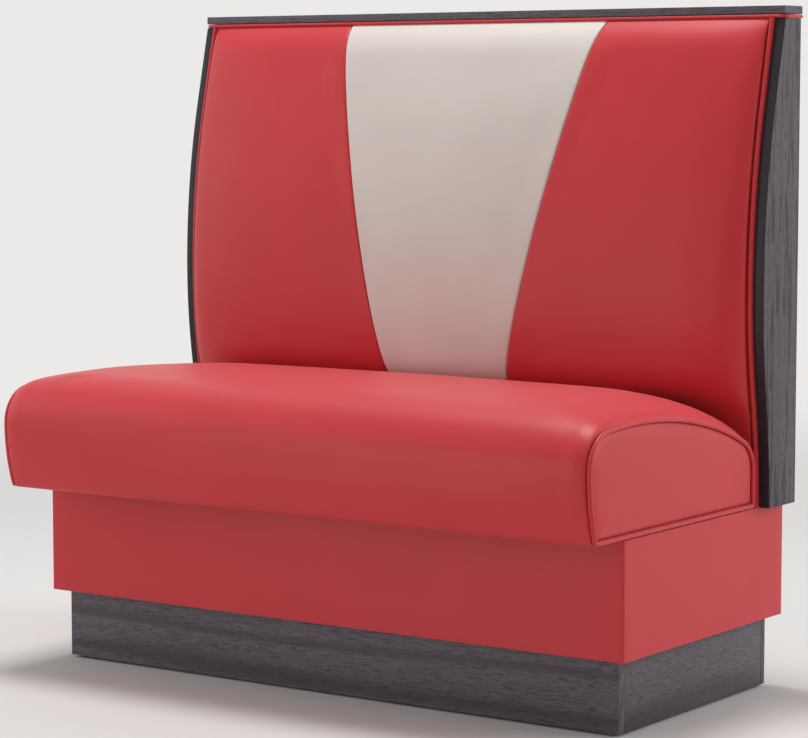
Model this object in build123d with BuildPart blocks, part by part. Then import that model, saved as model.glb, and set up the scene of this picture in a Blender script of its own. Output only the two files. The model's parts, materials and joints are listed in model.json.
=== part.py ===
# Restaurant booth bench for one side of a table: plinth, covered base box, sprung seat and padded back.
# Millimetres. X runs along the bench, the sitter faces -Y and Z is up from the floor.
# The origin is on the floor under the middle of the bench's outline.

import os
from math import cos, radians, sin, sqrt, tan

from build123d import *

os.makedirs("parts", exist_ok=True)

# A quarter turn, in degrees
upright = 90.0

# Sides of wrench faces, and of the short straight facets round a welt
hexagon_sides = 6
welt_sides = 8

# Overall width; the depth follows from the seat and the back
bench_width = 1139.4

# Heights of the stack, from the floor up
floor_gap = 4.0
plinth_height = 112.0
base_height = 179.0
side_height = 757.0
cap_welt_size = 6.4
cap_thickness = 12.6

# Gaps and allowances
soft_gap = 0.3
running_gap = 0.08
board_gap = 0.5
cut_overrun = 5.0

# Plinth
plinth_side_inset = 20.6
plinth_front_inset = 22.7
plinth_rear_inset = 18.0
plinth_board = 18.0
plinth_rear_board = 13.0
block_size = 50.0
block_lift = 4.0

# Base box
base_side_setback = 19.7
base_rear_setback = 1.0
cover_thickness = 3.5
cover_corner = 4.5
base_board = 15.0
base_sheet = 12.0

# Levelling glides and their tee nuts
stud_radius = 4.0
stud_length = 42.0
pad_radius = 15.0
pad_height = 5.6
pad_bevel = 1.8
nut_flange_radius = 11.0
nut_flange = 1.5
nut_barrel_radius = 5.4
nut_barrel = 13.0
stud_room = 3.0

# Seat outline at its ends: forward and upward distances from the bottom rear corner
seat_side_setback = 12.7
seat_rear_gap = 12.9
seat_overhang = 88.3
seat_bottom_depth = 475.5
seat_bulge = 27.0
seat_bulge_height = 92.0
seat_shoulder_setback = 41.0
seat_shoulder_height = 164.5
seat_fall_depth = 113.5
seat_fall_height = 138.3
seat_rear_depth = 32.5
seat_rear_height = 109.3

# What the crown adds to that outline in the middle of the seat
crown_bulge = 6.0
crown_shoulder_depth = -9.5
crown_shoulder_height = 21.5
crown_fall_height = 48.7
crown_rear_depth = 10.0
crown_rear_height = 61.2
crown_roll = 80.0
crown_roll_share = 0.95
crown_roll_shares = [0.0, 0.03, 0.12, 0.3, 0.6, 1.0]

# Seat build
seat_welt_radius = 3.8
seat_cover_wall = 12.0
seat_end_panel = 6.6
end_panel_round = 4.5
end_corner = 9.0
felt_thickness = 2.7
felt_width = 25.0
dust_sheet = 1.0
seat_rail = 22.0
seat_rail_height = 50.0
frame_end_inset = 9.1
frame_inset = 14.0
spring_count = 6
spring_wire = 3.6
spring_width = 48.0
spring_pitch = 36.0
turn_flat_share = 0.4
clip_width = 14.0
clip_length = 16.0
clip_plate = 1.5
spring_pad_sheet = 3.0

# Hooks that hold the seat's rear rail down
hook_spacing = 600.0
hook_width = 40.0
hook_plate = 2.5
hook_foot = 28.0
hook_travel = 34.0
hook_side_room = 2.0
hook_end_room = 1.5

# Back: side panels and the curve of their front edge
side_thickness = 18.0
side_edge_round = 1.5
foot_reach = 86.6
belly_reach = 113.2
belly_rise = 339.0
lean_rise = 289.0
lean_angle = 12.85

# Back frame
cap_rear_overhang = 6.0
cap_front_overhang = 1.5
cap_end_inset = 0.9
cap_edge_round = 1.5
rear_panel = 6.0
frame_board = 22.0
post_width = 40.0
rail_height = 60.0
foot_rail_depth = 72.0
foot_rail_height = 18.0
middle_rail_rise = 300.0
strap_count = 5
strap_width = 50.0
strap_thickness = 2.0

# Back padding
# Heights as shares of the side panel's height, with the share of the crown and of the edge's reach
foot_shares = [(0.0, 0.06, 1.0), (0.142, 0.08, 1.0)]
lip_shares = [
    (0.192, 0.13, 1.0),
    (0.208, 0.42, 1.0),
    (0.224, 0.66, 1.0),
    (0.24, 0.84, 1.0),
    (0.261, 0.97, 1.0),
]
belly_shares = [
    (0.354, 1.0, 1.0),
    (0.486, 0.88, 1.0),
    (0.725, 0.7, 1.0),
    (0.883, 0.64, 1.0),
    (0.945, 0.5, 1.0),
]
top_shares = [(0.972, 0.32, 0.9), (0.99, 0.12, 0.6), (1.0, 0.02, 0.15)]
back_welt_radius = 4.3
back_welt_reach = 7.7
pad_edge_reach = 8.0
foam_setback = 4.0
crown_reach = 36.0
wing_bow = 5.0
panel_bow = 5.5
edge_roll_width = 40.0
edge_roll_bow = 7.0
edge_roll_share = 0.7
v_foot_half = 76.4
v_top_half = 252.0
cap_welt_reach = 3.0
cap_welt_corner = 9.0

# Bolts that hold the back down on the base
bolt_count = 4
bolt_radius = 4.0
bolt_head_radius = 7.5
bolt_head = 5.5
bolt_end = 10.0

# Levels and planes worked out from the sizes above
plinth_bottom = floor_gap
base_bottom = plinth_bottom + plinth_height
base_top = base_bottom + base_height
side_top = base_top + side_height
cap_bottom = side_top + cap_welt_size
seat_bottom = base_top + felt_thickness

seat_rear_setback = foot_reach + pad_edge_reach + seat_rear_gap
seat_full_depth = seat_bottom_depth + seat_bulge + crown_bulge
bench_depth = seat_full_depth + seat_rear_setback + cap_rear_overhang
rear_y = bench_depth / 2
side_rear_y = rear_y - cap_rear_overhang
seat_rear_y = side_rear_y - seat_rear_setback
base_rear_y = side_rear_y - base_rear_setback
base_front_y = seat_rear_y - seat_bottom_depth + seat_overhang
base_depth = base_rear_y - base_front_y
base_middle_y = (base_rear_y + base_front_y) / 2

base_width = bench_width - base_side_setback * 2
seat_width = bench_width - seat_side_setback * 2
side_inner_x = bench_width / 2 - side_thickness
side_outer_x = bench_width / 2
back_welt_x = side_inner_x - soft_gap - back_welt_radius
pad_half = back_welt_x - back_welt_radius - soft_gap
board_half = base_width / 2 - cover_thickness
board_front_y = base_front_y + cover_thickness
board_rear_y = base_rear_y - cover_thickness


def finish(piece, name):
    """Label a finished piece and write its file."""
    piece.part.label = name
    export_step(piece.part, f"parts/{name}.step")


def block(x_pair, y_pair, z_pair, mode=Mode.ADD):
    """Straight board between two opposite corners, in the current part."""
    middle = [(low + high) / 2 for low, high in (x_pair, y_pair, z_pair)]
    sides = [high - low for low, high in (x_pair, y_pair, z_pair)]
    with Locations(tuple(middle)):
        Box(*sides, mode=mode)


def board(name, x_pair, y_pair, z_pair):
    """One straight board as a piece of its own."""
    with BuildPart() as piece:
        block(x_pair, y_pair, z_pair)
    finish(piece, name)


# Plinth: the front and rear boards run right across, the sides stand between them

plinth_half = base_width / 2 - plinth_side_inset
plinth_front_y = base_front_y + plinth_front_inset
plinth_rear_y = base_rear_y - plinth_rear_inset
plinth_inner_half = plinth_half - plinth_board
plinth_inner_front = plinth_front_y + plinth_board
plinth_inner_rear = plinth_rear_y - plinth_rear_board

plinth_z = (plinth_bottom, base_bottom)
plinth_inner_y = (plinth_inner_front, plinth_inner_rear)
board("plinth_front", (-plinth_half, plinth_half), (plinth_front_y, plinth_inner_front), plinth_z)
board("plinth_rear", (-plinth_half, plinth_half), (plinth_inner_rear, plinth_rear_y), plinth_z)
board("plinth_left", (-plinth_half, -plinth_inner_half), plinth_inner_y, plinth_z)
board("plinth_right", (plinth_inner_half, plinth_half), plinth_inner_y, plinth_z)
board("plinth_stretcher", (-plinth_board / 2, plinth_board / 2), plinth_inner_y, plinth_z)

# Corner blocks with a tee nut and a levelling glide in each

block_x = plinth_inner_half - block_size / 2
block_front_y = plinth_inner_front + block_size / 2
block_rear_y = plinth_inner_rear - block_size / 2
block_bottom = plinth_bottom + block_lift
corners = {
    "front_left": (-block_x, block_front_y),
    "front_right": (block_x, block_front_y),
    "rear_left": (-block_x, block_rear_y),
    "rear_right": (block_x, block_rear_y),
}
stud_top = pad_height + stud_length

with BuildPart() as plinth_blocks:
    with BuildSketch(Plane.XY.offset(block_bottom)):
        with Locations(*corners.values()):
            Rectangle(block_size, block_size)
    extrude(amount=base_bottom - block_bottom)
    with BuildSketch(Plane.XY.offset(block_bottom)):
        with Locations(*corners.values()):
            Circle(nut_barrel_radius + running_gap)
    extrude(amount=stud_top + stud_room - block_bottom, mode=Mode.SUBTRACT)
finish(plinth_blocks, "plinth_blocks")

with BuildPart() as glide_nuts:
    with BuildSketch(Plane.XY.offset(block_bottom - nut_flange)):
        with Locations(*corners.values()):
            RegularPolygon(nut_flange_radius, side_count=hexagon_sides)
    extrude(amount=nut_flange)
    with BuildSketch(Plane.XY.offset(block_bottom)):
        with Locations(*corners.values()):
            Circle(nut_barrel_radius)
    extrude(amount=nut_barrel)
    with BuildSketch(Plane.XY.offset(block_bottom - nut_flange)):
        with Locations(*corners.values()):
            Circle(stud_radius + running_gap)
    extrude(amount=nut_flange + nut_barrel, mode=Mode.SUBTRACT)
finish(glide_nuts, "glide_nuts")

for corner_name, corner in corners.items():
    with BuildPart() as glide:
        with BuildSketch(Plane.XY):
            with Locations(corner):
                RegularPolygon(pad_radius, side_count=hexagon_sides)
        extrude(amount=pad_height)
        chamfer(glide.edges().group_by(Axis.Z)[-1], length=pad_bevel)
        with BuildSketch(Plane.XY.offset(pad_height)):
            with Locations(corner):
                Circle(stud_radius)
        extrude(amount=stud_length)
    finish(glide, f"glide_{corner_name}")

# Base box: floor, four walls, a divider and the deck that the seat slides on

wall_bottom = base_bottom + base_sheet
wall_top = base_top - base_sheet
inner_half = board_half - base_board
wall_z = (wall_bottom, wall_top)
walls_y = (board_front_y + base_board, board_rear_y - base_board)

board("base_floor", (-board_half, board_half), (board_front_y, board_rear_y), (base_bottom, wall_bottom))
board("base_front", (-board_half, board_half), (board_front_y, walls_y[0]), wall_z)
board("base_rear", (-board_half, board_half), (walls_y[1], board_rear_y), wall_z)
board("base_left", (-board_half, -inner_half), walls_y, wall_z)
board("base_right", (inner_half, board_half), walls_y, wall_z)
board("base_divider", (-base_board / 2, base_board / 2), walls_y, wall_z)

hook_leg_y = seat_rear_y - frame_inset - seat_rail - hook_foot / 2
slot_rear_y = hook_leg_y + hook_plate + hook_end_room
slot_front_y = hook_leg_y - hook_travel - hook_end_room
slot_middle_y = (slot_front_y + slot_rear_y) / 2
rail_front_y = side_rear_y - rear_panel - foot_rail_depth
bolt_y = rail_front_y + foot_rail_depth / 2
bolt_middle = (bolt_count - 1) / 2
bolt_spacing = inner_half * 2 / bolt_count
bolt_places = [((index - bolt_middle) * bolt_spacing, bolt_y) for index in range(bolt_count)]

with BuildPart() as base_deck:
    block((-board_half, board_half), (board_front_y, board_rear_y), (wall_top, base_top))
    with BuildSketch(Plane.XY.offset(wall_top)):
        with Locations((-hook_spacing / 2, slot_middle_y), (hook_spacing / 2, slot_middle_y)):
            Rectangle(hook_width + hook_side_room * 2, slot_rear_y - slot_front_y)
        with Locations(*bolt_places):
            Circle(bolt_radius + board_gap)
    extrude(amount=base_sheet, mode=Mode.SUBTRACT)
finish(base_deck, "base_deck")

with BuildPart() as base_cover:
    with BuildSketch(Plane.XY.offset(base_bottom)):
        with Locations((0, base_middle_y)):
            RectangleRounded(base_width, base_depth, cover_corner)
            Rectangle(board_half * 2, board_rear_y - board_front_y, mode=Mode.SUBTRACT)
    extrude(amount=base_height)
finish(base_cover, "base_cover")

# Seat: outline seen from the side, with more or less of the middle's crown


def seat_point(forward, up):
    """Point of the side outline, forward of and above the bottom rear corner."""
    return (seat_rear_y - forward, seat_bottom + up)


def seat_outline(share):
    """Closed side outline of the cushion as tangent arcs, in the current line."""
    toe = seat_point(seat_bottom_depth, 0)
    bulge = seat_point(seat_bottom_depth + seat_bulge + crown_bulge * share, seat_bulge_height)
    shoulder = seat_point(
        seat_bottom_depth - seat_shoulder_setback + crown_shoulder_depth * share,
        seat_shoulder_height + crown_shoulder_height * share,
    )
    fall = seat_point(seat_fall_depth, seat_fall_height + crown_fall_height * share)
    rear = seat_point(
        seat_rear_depth + crown_rear_depth * share,
        seat_rear_height + crown_rear_height * share,
    )
    TangentArc(bulge, toe, tangent=(0, -1))
    shoulder_arc = TangentArc(bulge, shoulder, tangent=(0, 1))
    top_arc = TangentArc(shoulder, fall, tangent=shoulder_arc % 1)
    fall_arc = TangentArc(fall, rear, tangent=top_arc % 1)
    chord_angle = ((fall_arc % 1).get_angle(Vector(1, 0, 0)) + upright) / 2
    back_top = (seat_rear_y, rear[1] - (seat_rear_y - rear[0]) * tan(radians(chord_angle)))
    TangentArc(rear, back_top, tangent=fall_arc % 1)
    Polyline(back_top, seat_point(0, 0), toe)


def end_sketch(place, inset):
    """End outline of the cushion with rounded bottom corners, drawn in by an inset."""
    with BuildSketch(Plane.YZ.offset(place)) as sketch:
        with BuildLine():
            seat_outline(0)
        make_face()
        fillet(sketch.vertices().group_by(Axis.Y)[0], radius=end_corner)
        offset(amount=-inset, mode=Mode.REPLACE)
    return sketch


def crown_share(place):
    """Share of the middle's crown at a distance from the middle: a quick roll, then a slow rise."""
    run = seat_half - abs(place)
    roll = min(run / crown_roll, 1.0)
    rise = sqrt(1 - (1 - roll) ** 2)
    return crown_roll_share * rise + (1 - crown_roll_share) * run / seat_half


seat_half = seat_width / 2 - seat_welt_radius * 2 - soft_gap
roll_places = [seat_half - crown_roll * share for share in crown_roll_shares]
frame_rear_y = seat_rear_y - frame_inset
frame_front_y = seat_rear_y - seat_bottom_depth + frame_inset
frame_half = seat_half - frame_end_inset
rail_bottom = seat_bottom + dust_sheet
rail_top = rail_bottom + seat_rail_height
spring_pad_bottom = rail_top + spring_wire
foam_bottom = spring_pad_bottom + spring_pad_sheet

with BuildSketch(Plane.YZ.offset(-seat_half)) as seat_pocket:
    with BuildLine():
        seat_outline(0)
    make_face()
    offset(amount=-seat_cover_wall, mode=Mode.REPLACE)

with BuildPart() as seat_foam:
    with BuildSketch(Plane.YZ.offset(-seat_half)):
        add(seat_pocket.sketch_local)
    extrude(amount=seat_half * 2)
    block((-frame_half, frame_half), (frame_front_y, frame_rear_y), (0, foam_bottom), Mode.SUBTRACT)
finish(seat_foam, "seat_foam")

left_roll = [-place for place in roll_places]
right_roll = roll_places[::-1]
with BuildPart() as seat_cover:
    for place in left_roll + [0] + right_roll:
        with BuildSketch(Plane.YZ.offset(place)):
            with BuildLine():
                seat_outline(crown_share(place))
            make_face()
    loft(ruled=True)
    with BuildSketch(Plane.YZ.offset(-seat_half)):
        add(seat_pocket.sketch_local)
    extrude(amount=seat_half * 2, mode=Mode.SUBTRACT)
    block((-seat_half, seat_half), (frame_front_y, frame_rear_y), (0, foam_bottom), Mode.SUBTRACT)
finish(seat_cover, "seat_cover")

# Seat ends: a crowned panel inside a closed welt

welt_centre_x = seat_half + soft_gap + seat_welt_radius
panel_face_x = seat_half + soft_gap

for side, side_name in ((-1, "left"), (1, "right")):
    with BuildPart() as seat_end:
        with BuildSketch(Plane.YZ.offset(side * panel_face_x)):
            add(end_sketch(0, seat_welt_radius * 2 + soft_gap).sketch_local)
        extrude(amount=side * seat_end_panel)
        outer_edges = seat_end.faces().sort_by(Axis.X)[-1 if side > 0 else 0].edges()
        fillet(outer_edges, radius=end_panel_round)
    finish(seat_end, f"seat_end_{side_name}")

    welt_path = end_sketch(side * welt_centre_x, seat_welt_radius).sketch.face().outer_wire()
    with BuildPart() as seat_welt:
        with BuildSketch(Plane(origin=welt_path @ 0, z_dir=welt_path % 0)):
            RegularPolygon(seat_welt_radius, side_count=welt_sides)
        sweep(path=welt_path)
    finish(seat_welt, f"seat_welt_{side_name}")

# Seat frame, springs and what closes it below

rail_z = (rail_bottom, rail_top)
rail_inner = (frame_front_y + seat_rail, frame_rear_y - seat_rail)
frame_inner = frame_half - seat_rail
board("seat_rail_front", (-frame_half, frame_half), (frame_front_y, rail_inner[0]), rail_z)
board("seat_rail_rear", (-frame_half, frame_half), (rail_inner[1], frame_rear_y), rail_z)
board("seat_rail_left", (-frame_half, -frame_inner), rail_inner, rail_z)
board("seat_rail_right", (frame_inner, frame_half), rail_inner, rail_z)
board("seat_rail_middle", (-seat_rail / 2, seat_rail / 2), rail_inner, (rail_bottom, rail_top - seat_rail))

spring_front = frame_front_y + seat_rail / 2
spring_run = frame_rear_y - seat_rail / 2 - spring_front
turns = round(spring_run / spring_pitch)
pitch = spring_run / turns
spring_straight = spring_width / 2 - pitch / 3
spring_spacing = frame_inner * 2 / spring_count
spring_middle = (spring_count - 1) / 2
spring_places = [(index - spring_middle) * spring_spacing for index in range(spring_count)]

with BuildSketch() as spring_shape:
    with BuildLine() as spring_line:
        for turn in range(turns + 1):
            way = 1 if turn % 2 == 0 else -1
            y = spring_front + turn * pitch
            Line((-way * spring_straight, y), (way * spring_straight, y))
            if turn < turns:
                corner_y = pitch * (1 - turn_flat_share) / 2
                Polyline(
                    (way * spring_straight, y),
                    (way * spring_width / 2, y + corner_y),
                    (way * spring_width / 2, y + pitch - corner_y),
                    (way * spring_straight, y + pitch),
                )
    trace(line_width=spring_wire)

with BuildPart() as seat_springs:
    with BuildSketch(Plane.XY.offset(rail_top)):
        with Locations(*[(x, 0) for x in spring_places]):
            add(spring_shape.sketch)
    extrude(amount=spring_wire)
finish(seat_springs, "seat_springs")

clip_places = [(x, y) for x in spring_places for y in (spring_front, spring_front + spring_run)]
with BuildPart() as seat_clips:
    with BuildSketch(Plane.XY.offset(rail_top)):
        with Locations(*clip_places):
            Rectangle(clip_width, clip_length)
    extrude(amount=spring_wire + clip_plate)
    with BuildSketch(Plane.XY.offset(rail_top)):
        with Locations(*clip_places):
            Rectangle(clip_width, spring_wire + running_gap * 2)
    extrude(amount=spring_wire + running_gap, mode=Mode.SUBTRACT)
finish(seat_clips, "seat_clips")

board("seat_spring_pad", (-frame_inner, frame_inner), rail_inner, (spring_pad_bottom, foam_bottom))

hook_drop = rail_bottom - hook_plate / 2
foot_level = wall_top - soft_gap - hook_plate / 2
with BuildPart() as seat_hooks:
    for x in (-hook_spacing / 2, hook_spacing / 2):
        with BuildSketch(Plane.YZ.offset(x - hook_width / 2)):
            with BuildLine():
                FilletPolyline(
                    (frame_rear_y, hook_drop),
                    (hook_leg_y + hook_plate / 2, hook_drop),
                    (hook_leg_y + hook_plate / 2, foot_level),
                    (hook_leg_y + hook_foot, foot_level),
                    radius=hook_plate,
                )
            trace(line_width=hook_plate)
        extrude(amount=hook_width)
finish(seat_hooks, "seat_hooks")

with BuildPart() as seat_dust_cover:
    block((-frame_half, frame_half), (frame_front_y, frame_rear_y), (seat_bottom, rail_bottom))
    for x in (-hook_spacing / 2, hook_spacing / 2):
        notch_x = (x - hook_width / 2 - hook_side_room, x + hook_width / 2 + hook_side_room)
        notch_y = (hook_leg_y - hook_end_room, frame_rear_y)
        block(notch_x, notch_y, (seat_bottom, rail_bottom), Mode.SUBTRACT)
finish(seat_dust_cover, "seat_dust_cover")

with BuildPart() as seat_runners:
    for x in (-frame_half + felt_width / 2, frame_half - felt_width / 2):
        runner_x = (x - felt_width / 2, x + felt_width / 2)
        block(runner_x, (board_front_y + frame_inset, frame_rear_y), (base_top, seat_bottom))
finish(seat_runners, "seat_runners")

# Back: the front edge rises upright, bellies forward and then leans back straight

lean = radians(lean_angle)
lean_radius = lean_rise / sin(lean)
edge_foot = (side_rear_y - foot_reach, base_top)
edge_middle = (side_rear_y - (foot_reach + belly_reach) / 2, base_top + belly_rise / 2)
edge_belly = (side_rear_y - belly_reach, base_top + belly_rise)
edge_lean = (edge_belly[0] + lean_radius * (1 - cos(lean)), edge_belly[1] + lean_rise)
edge_top = (edge_lean[0] + (side_top - edge_lean[1]) * tan(lean), side_top)
swell = (belly_reach - foot_reach) / 2
swell_radius = ((belly_rise / 2) ** 2 + swell**2) / (2 * swell)


def edge_at(height):
    """Where the side panel's front edge lies at a height."""
    if height < edge_middle[1]:
        return edge_foot[0] - swell_radius + sqrt(swell_radius**2 - (height - base_top) ** 2)
    if height < edge_belly[1]:
        rise = edge_belly[1] - height
        return edge_belly[0] + swell_radius - sqrt(swell_radius**2 - rise**2)
    if height < edge_lean[1]:
        rise = height - edge_belly[1]
        return edge_belly[0] + lean_radius - sqrt(lean_radius**2 - rise**2)
    return edge_lean[0] + (height - edge_lean[1]) * tan(lean)


def edge_line(reach):
    """Front edge from foot to top as tangent arcs, moved forward by a reach, in the current line."""
    foot, middle, belly, leaning, top = [
        (point[0] - reach, point[1])
        for point in (edge_foot, edge_middle, edge_belly, edge_lean, edge_top)
    ]
    lower = TangentArc(foot, middle, tangent=(0, 1))
    TangentArc(middle, belly, tangent=lower % 1)
    TangentArc(belly, leaning, tangent=(0, 1))
    Line(leaning, top)
    return foot, top


def back_profile(reach, rear):
    """Closed side profile between the front edge and a rear plane, in the current line."""
    foot, top = edge_line(reach)
    Polyline(top, (rear, side_top), (rear, base_top), foot)


for side, side_name in ((-1, "left"), (1, "right")):
    with BuildPart() as back_side:
        with BuildSketch(Plane.YZ.offset(side * side_inner_x)):
            with BuildLine():
                back_profile(0, side_rear_y)
            make_face()
        extrude(amount=side * side_thickness)
        flat_faces = back_side.faces().filter_by(Plane.YZ)
        square_edges = flat_faces.edges().filter_by(Axis.Y) + flat_faces.edges().filter_by(Axis.Z)
        front_edges = [edge for edge in flat_faces.edges() if edge not in square_edges]
        chamfer(front_edges, length=side_edge_round)
    finish(back_side, f"back_side_{side_name}")

# Back frame: flat foot rail, posts at the ends and the middle, and rails between them

post_front_y = side_rear_y - rear_panel - frame_board
post_y = (post_front_y, side_rear_y - rear_panel)
foot_rail_top = base_top + foot_rail_height
top_rail_bottom = cap_bottom - rail_height
middle_rail_bottom = base_top + middle_rail_rise
end_post_inner = side_inner_x - post_width

with BuildPart() as back_foot_rail:
    foot_rail_y = (rail_front_y, side_rear_y - rear_panel)
    block((-side_inner_x, side_inner_x), foot_rail_y, (base_top, foot_rail_top))
    with Locations(*[(x, y, foot_rail_top) for x, y in bolt_places]):
        CounterBoreHole(
            radius=bolt_radius + board_gap,
            counter_bore_radius=bolt_head_radius + board_gap * 2,
            counter_bore_depth=bolt_head + board_gap,
        )
finish(back_foot_rail, "back_foot_rail")

with BuildPart() as back_posts:
    for x in (-side_inner_x + post_width / 2, 0, side_inner_x - post_width / 2):
        block((x - post_width / 2, x + post_width / 2), post_y, (foot_rail_top, top_rail_bottom))
finish(back_posts, "back_posts")

board("back_top_rail", (-side_inner_x, side_inner_x), post_y, (top_rail_bottom, cap_bottom))

with BuildPart() as back_middle_rails:
    for x_pair in ((-end_post_inner, -post_width / 2), (post_width / 2, end_post_inner)):
        block(x_pair, post_y, (middle_rail_bottom, middle_rail_bottom + rail_height))
finish(back_middle_rails, "back_middle_rails")

board(
    "back_rear_panel",
    (-side_inner_x, side_inner_x),
    (side_rear_y - rear_panel, side_rear_y),
    (base_top, side_top),
)

strap_y = (post_front_y - strap_thickness, post_front_y)
strap_spacing = (top_rail_bottom - foot_rail_top) / strap_count
with BuildPart() as back_straps:
    for index in range(strap_count):
        strap_bottom = foot_rail_top + strap_spacing * index + (strap_spacing - strap_width) / 2
        block((-side_inner_x, side_inner_x), strap_y, (strap_bottom, strap_bottom + strap_width))
finish(back_straps, "back_straps")

with BuildPart() as back_bolts:
    for x, y in bolt_places:
        with BuildSketch(Plane.XY.offset(foot_rail_top - bolt_head)):
            with Locations((x, y)):
                RegularPolygon(bolt_head_radius, side_count=hexagon_sides)
        extrude(amount=bolt_head)
        with BuildSketch(Plane.XY.offset(wall_top - bolt_head - bolt_end)):
            with Locations((x, y)):
                Circle(bolt_radius)
        extrude(amount=foot_rail_top - bolt_head - wall_top + bolt_head + bolt_end)
        with BuildSketch(Plane.XY.offset(wall_top)):
            with Locations((x, y)):
                RegularPolygon(bolt_head_radius, side_count=hexagon_sides)
        extrude(amount=-bolt_head)
finish(back_bolts, "back_bolts")

# Back padding: foam on the frame, and three sewn panels over it with their crown

foam_rear_y = post_front_y - strap_thickness
with BuildPart() as back_foam:
    with BuildSketch(Plane.YZ.offset(-pad_half)):
        with BuildLine():
            back_profile(-foam_setback, foam_rear_y)
        make_face()
    extrude(amount=pad_half * 2)
    foot_room_y = (rail_front_y - board_gap, foam_rear_y)
    block((-pad_half, pad_half), foot_room_y, (0, foot_rail_top), Mode.SUBTRACT)
finish(back_foam, "back_foam")


def seam_at(height):
    """Distance of the sewn seams from the middle at a height."""
    return v_foot_half + (v_top_half - v_foot_half) * (height - base_top) / side_height


def bowed(start, end, bow):
    """Arc between two points, bowed forward in the middle."""
    run = Vector(*end) - Vector(*start)
    out = Vector(run.Y, -run.X).normalized() * bow
    if out.Y > 0:
        out = -out
    middle = (Vector(*start) + Vector(*end)) / 2 + out
    ThreePointArc(start, middle, end)


def pad_outline(height, crown, reach):
    """Plan outline of the padding at a height, in the current line."""
    edge_y = edge_at(height) - pad_edge_reach * reach
    roll = (pad_half - edge_roll_width, edge_y - crown_reach * crown * edge_roll_share)
    seam = (seam_at(height), edge_y - crown_reach * crown)
    rear = edge_at(height) + foam_setback + cut_overrun
    for side in (-1, 1):
        edge = (side * pad_half, edge_y)
        bowed(edge, (side * roll[0], roll[1]), edge_roll_bow * crown)
        bowed((side * roll[0], roll[1]), (side * seam[0], seam[1]), wing_bow * crown)
    bowed((-seam[0], seam[1]), seam, panel_bow * crown)
    Polyline((-pad_half, edge_y), (-pad_half, rear), (pad_half, rear), (pad_half, edge_y))


with BuildPart() as back_pad:
    for level, crown, reach in foot_shares + lip_shares + belly_shares + top_shares:
        height = base_top + side_height * level
        with BuildSketch(Plane.XY.offset(height)):
            with BuildLine():
                pad_outline(height, crown, reach)
            make_face()
    loft(ruled=True)
    with BuildSketch(Plane.YZ.offset(-pad_half)):
        with BuildLine():
            back_profile(-foam_setback, side_rear_y)
        make_face()
    extrude(amount=pad_half * 2, mode=Mode.SUBTRACT)

seam_slope = (v_top_half - v_foot_half) / side_height
right_seam = Plane(origin=(v_foot_half, 0, base_top), z_dir=(1, 0, -seam_slope))
left_seam = Plane(origin=(-v_foot_half, 0, base_top), z_dir=(-1, 0, -seam_slope))

with BuildPart() as back_cover_center:
    add(back_pad.part)
    split(bisect_by=right_seam, keep=Keep.BOTTOM)
    split(bisect_by=left_seam, keep=Keep.BOTTOM)
finish(back_cover_center, "back_cover_center")

with BuildPart() as back_cover_left:
    add(back_pad.part)
    split(bisect_by=left_seam, keep=Keep.TOP)
finish(back_cover_left, "back_cover_left")

with BuildPart() as back_cover_right:
    add(back_pad.part)
    split(bisect_by=right_seam, keep=Keep.TOP)
finish(back_cover_right, "back_cover_right")

# Welts: one inside each side panel and one under the cap

with BuildLine() as welt_line:
    edge_line(back_welt_reach)

for side, side_name in ((-1, "left"), (1, "right")):
    welt_path = Plane.YZ.offset(side * back_welt_x).from_local_coords(welt_line.wire())
    with BuildPart() as back_welt:
        with BuildSketch(Plane(origin=welt_path @ 0, z_dir=welt_path % 0)):
            RegularPolygon(back_welt_radius, side_count=welt_sides)
        sweep(path=welt_path)
        block(
            (-side_outer_x, side_outer_x),
            (-bench_depth, bench_depth),
            (side_top, side_top + cut_overrun),
            Mode.SUBTRACT,
        )
    finish(back_welt, f"back_welt_{side_name}")

cap_front_y = edge_top[0] - cap_front_overhang
cap_welt_radius = cap_welt_size / 2
cap_welt_x = side_outer_x + cap_welt_reach - cap_welt_radius
cap_welt_y = cap_front_y - cap_welt_reach + cap_welt_radius

with BuildPart() as cap_welt:
    with BuildLine(Plane.XY.offset(side_top + cap_welt_radius)) as cap_welt_line:
        FilletPolyline(
            (-cap_welt_x, side_rear_y),
            (-cap_welt_x, cap_welt_y),
            (cap_welt_x, cap_welt_y),
            (cap_welt_x, side_rear_y),
            radius=cap_welt_corner,
        )
    with BuildSketch(Plane(origin=cap_welt_line.line @ 0, z_dir=(0, -1, 0))):
        RegularPolygon(cap_welt_radius, side_count=welt_sides)
    sweep(path=cap_welt_line.line)
finish(cap_welt, "cap_welt")

cap_half = side_outer_x - cap_end_inset
with BuildPart() as cap_rail:
    block((-cap_half, cap_half), (cap_front_y, rear_y), (cap_bottom, cap_bottom + cap_thickness))
    chamfer(cap_rail.edges(), length=cap_edge_round)
finish(cap_rail, "cap_rail")
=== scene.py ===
# Restaurant booth bench: sprung seat and padded back in satin vinyl, on a covered base and an oak plinth
import json
from math import atan2, cos, pi, radians, sin, sqrt, tan

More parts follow.
